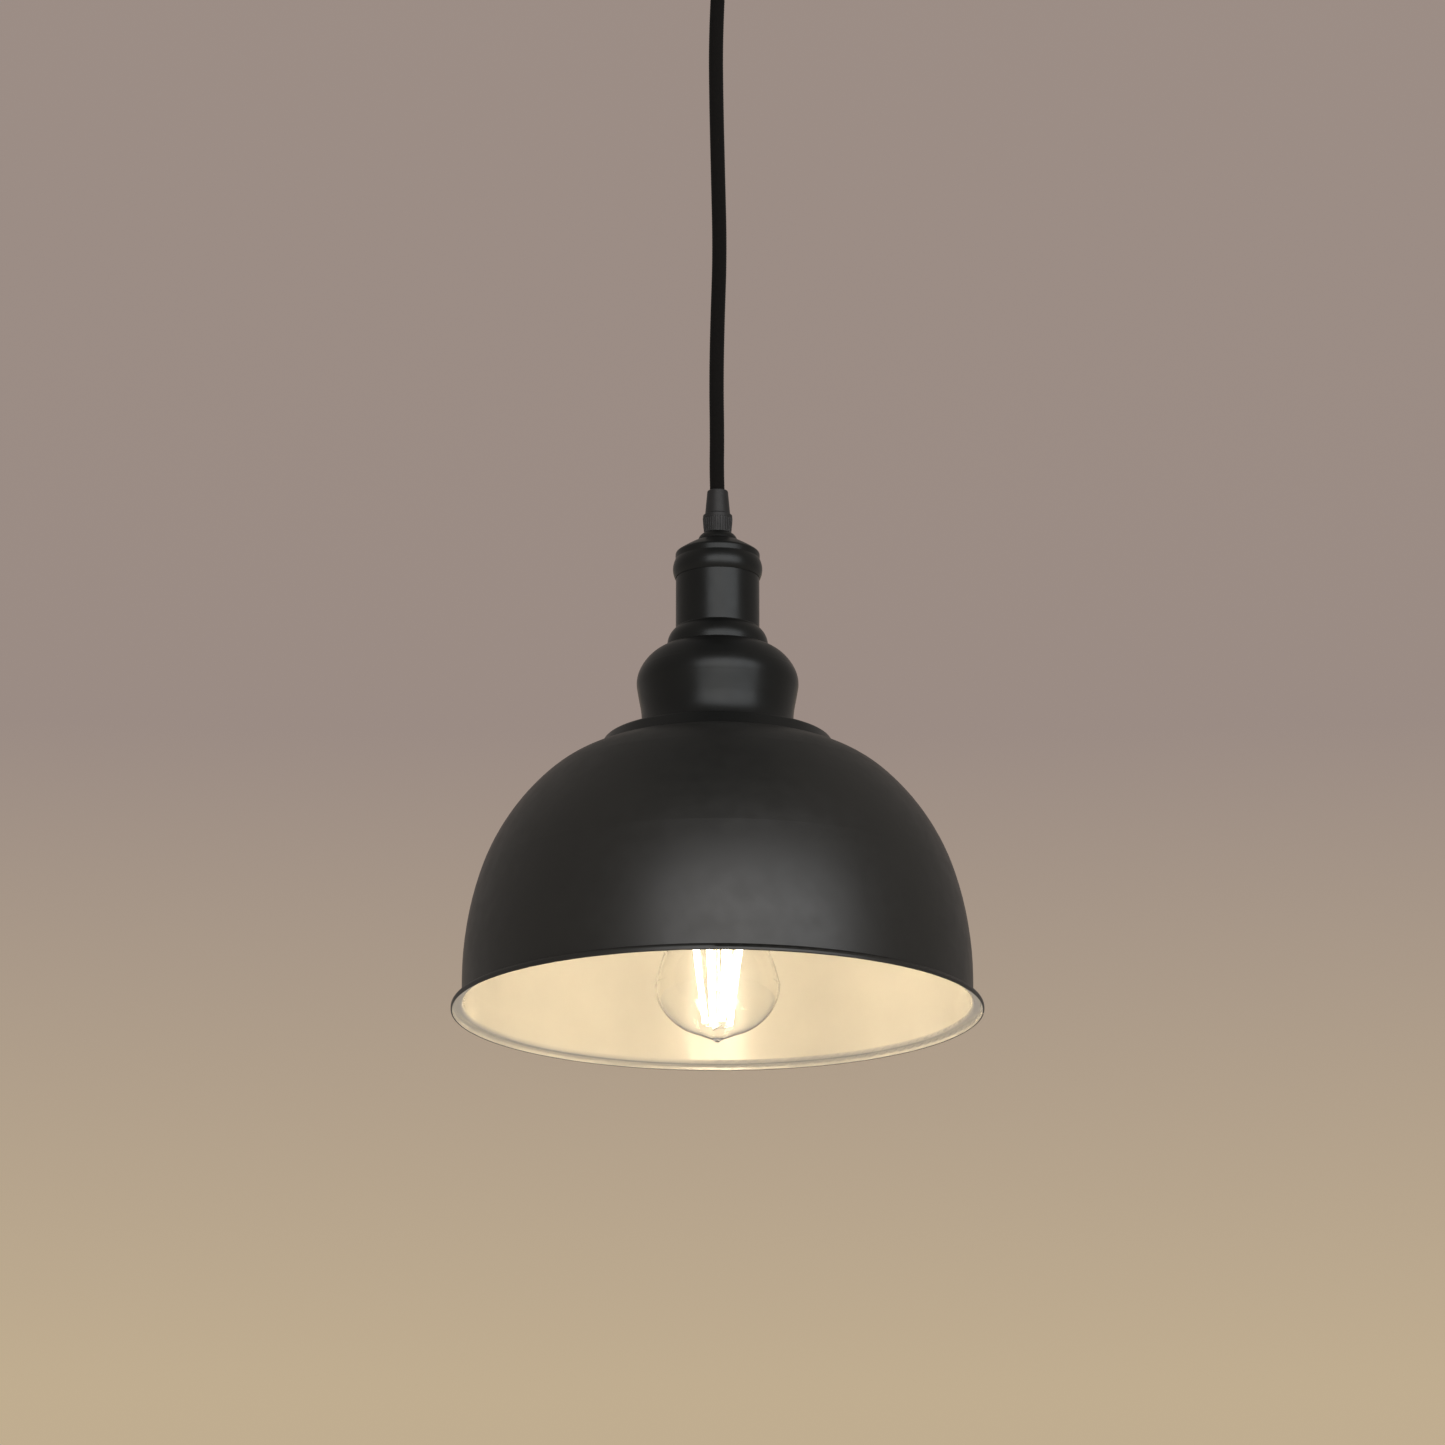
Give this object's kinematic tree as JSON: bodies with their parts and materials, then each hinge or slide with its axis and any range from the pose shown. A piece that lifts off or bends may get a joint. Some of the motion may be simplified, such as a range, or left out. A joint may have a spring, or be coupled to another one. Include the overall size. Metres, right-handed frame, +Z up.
{
  "type": "pendant ceiling light",
  "caption": "Pendant lamp with a black dome shade, bulbous neck, socket cover and round cord from a ceiling canopy, holding a screw-in filament bulb.",
  "frame": {"origin": "centre of the ceiling strap's two slots, on the ceiling plane", "axes": "+Z up along the lamp's axis, +X along the strap, the lamp hangs towards -Z"},
  "size_m": [0.2464, 0.2464, 0.5722],
  "materials": {
    "black_enamel": "satin black powder coat, warm cream enamel inside the shade",
    "grip_plastic": "matte moulded",
    "cord_textile": "round braided textile sleeve",
    "zinc_steel": "zinc plated",
    "brass": "turned",
    "white_plastic": "moulded",
    "holder_plastic": "black bakelite",
    "ceramic": "glazed ceramic",
    "wire_brown": "insulation",
    "wire_blue": "insulation",
    "wire_green": "insulation",
    "solder": "tinned",
    "nickel": "nickel plated",
    "black_glass": "vitrite",
    "clear_glass": "clear",
    "filament": "phosphor coated sticks"
  },
  "bodies": {
    "ceiling_fitting": {"ceiling_strap": "zinc_steel", "canopy": "black_enamel", "canopy_screws": "zinc_steel", "earth_screw": "zinc_steel", "earth_ring": "brass", "terminal_block": "white_plastic", "block_screws": "brass", "canopy_nipple": "zinc_steel", "canopy_nut": "zinc_steel", "canopy_grip_body": "grip_plastic", "canopy_grip_nut": "grip_plastic", "cord_tail_canopy": "cord_textile", "ceiling_wire_live": "wire_brown", "ceiling_wire_earth": "wire_green", "ceiling_wire_neutral": "wire_blue"},
    "pivot": {"cord_bend": "cord_textile"},
    "hanging_cord": {"cord": "cord_textile"},
    "lamp_head": {"grip_nut": "grip_plastic", "grip_body": "grip_plastic", "grip_collar": "black_enamel", "socket_cap": "black_enamel", "socket_sleeve": "black_enamel", "threaded_tube": "zinc_steel", "stack_washer": "zinc_steel", "lock_nut": "zinc_steel", "shade_neck": "black_enamel", "neck_studs": "zinc_steel", "shade": "black_enamel", "shade_washers": "zinc_steel", "shade_nuts": "zinc_steel", "cord_tail_lamp": "cord_textile", "lamp_wire_live": "wire_brown", "lamp_wire_earth": "wire_green", "lamp_wire_neutral": "wire_blue", "holder_dome": "holder_plastic", "holder_body": "holder_plastic", "holder_ring": "holder_plastic", "holder_insert": "ceramic", "terminal_screws": "brass", "thread_shell": "brass", "centre_contact": "brass"},
    "bulb_foot": {"bulb_contact": "solder", "bulb_insulator": "black_glass"},
    "bulb": {"bulb_cap": "nickel", "bulb_glass": "clear_glass", "bulb_stem": "clear_glass", "filaments": "filament", "filament_wires": "zinc_steel"}
  },
  "joints": [
    {"name": "swing_x", "type": "hinge", "parent": "ceiling_fitting", "child": "pivot", "pos_m": [0, 0, -0.0493], "axis": [1, 0, 0], "range_deg": [-30, 30]},
    {"name": "swing_y", "type": "hinge", "parent": "pivot", "child": "hanging_cord", "pos_m": [0, 0, -0.0493], "axis": [0, 1, 0], "range_deg": [-30, 30]},
    {"name": "twist", "type": "hinge", "parent": "hanging_cord", "child": "lamp_head", "pos_m": [0, 0, -0.3087], "axis": [0, 0, 1], "range_deg": [-90, 90], "stiffness_Nm_per_rad": 0.004},
    {"name": "bulb_travel", "type": "slide", "parent": "lamp_head", "child": "bulb_foot", "axis": [0, 0, -1], "range_m": [0, 0.0218]},
    {"name": "bulb_turn", "type": "hinge", "parent": "bulb_foot", "child": "bulb", "pos_m": [0, 0, -0.455], "axis": [0, 0, -1], "range_deg": [0, 2160]}
  ],
  "couplings": [
    {"joint": "bulb_travel", "follows": "bulb_turn", "m_per_rad": 0.00057757}
  ]
}
